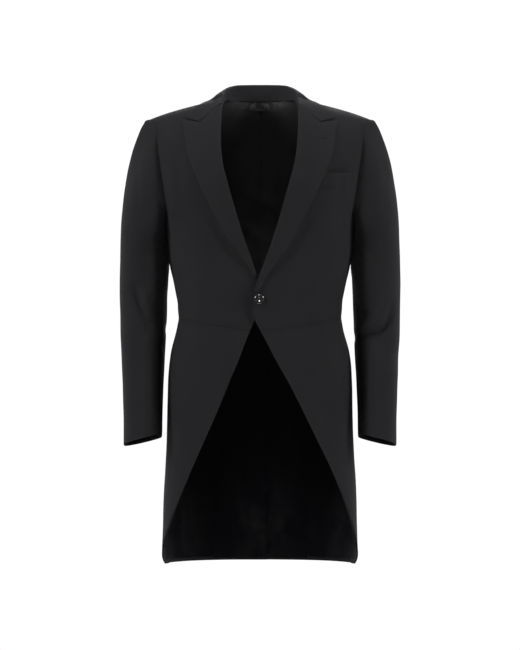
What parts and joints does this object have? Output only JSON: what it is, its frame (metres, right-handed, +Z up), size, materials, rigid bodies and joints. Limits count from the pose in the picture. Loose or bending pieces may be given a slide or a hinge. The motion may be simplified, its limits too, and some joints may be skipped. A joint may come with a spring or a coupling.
{
  "type": "morning coat",
  "caption": "Black wool morning coat with peaked lapels, a buttoned front cut away from the waist into tails, and a welted chest pocket, standing filled out.",
  "frame": {"origin": "middle of the neck opening, on the coat's centre line, level with the neck ends of the shoulder seams", "axes": "+X towards the wearer's left, +Y towards the wearer's back, +Z up"},
  "size_m": [0.5748, 0.2473, 0.9871],
  "materials": {
    "black_wool": "matt, with a faint nap",
    "black_satin_lining": "satin",
    "black_button": "polished"
  },
  "bodies": {
    "root": {"forepart_left": "black_wool", "forepart_right": "black_wool", "side_body_left": "black_wool", "side_body_right": "black_wool", "back_left": "black_wool", "back_right": "black_wool", "skirt_left": "black_wool", "skirt_right": "black_wool", "skirt_facing_left": "black_wool", "skirt_facing_right": "black_wool", "lapel_left": "black_wool", "lapel_right": "black_wool", "collar": "black_wool", "top_sleeve_left": "black_wool", "top_sleeve_right": "black_wool", "under_sleeve_left": "black_wool", "under_sleeve_right": "black_wool", "chest_welt": "black_wool", "back_lining_left": "black_satin_lining", "back_lining_right": "black_satin_lining", "skirt_lining_left": "black_satin_lining", "skirt_lining_right": "black_satin_lining", "cuff_lining_left": "black_satin_lining", "cuff_lining_right": "black_satin_lining", "hanger_loop": "black_satin_lining", "front_button": "black_button"}
  },
  "joints": []
}
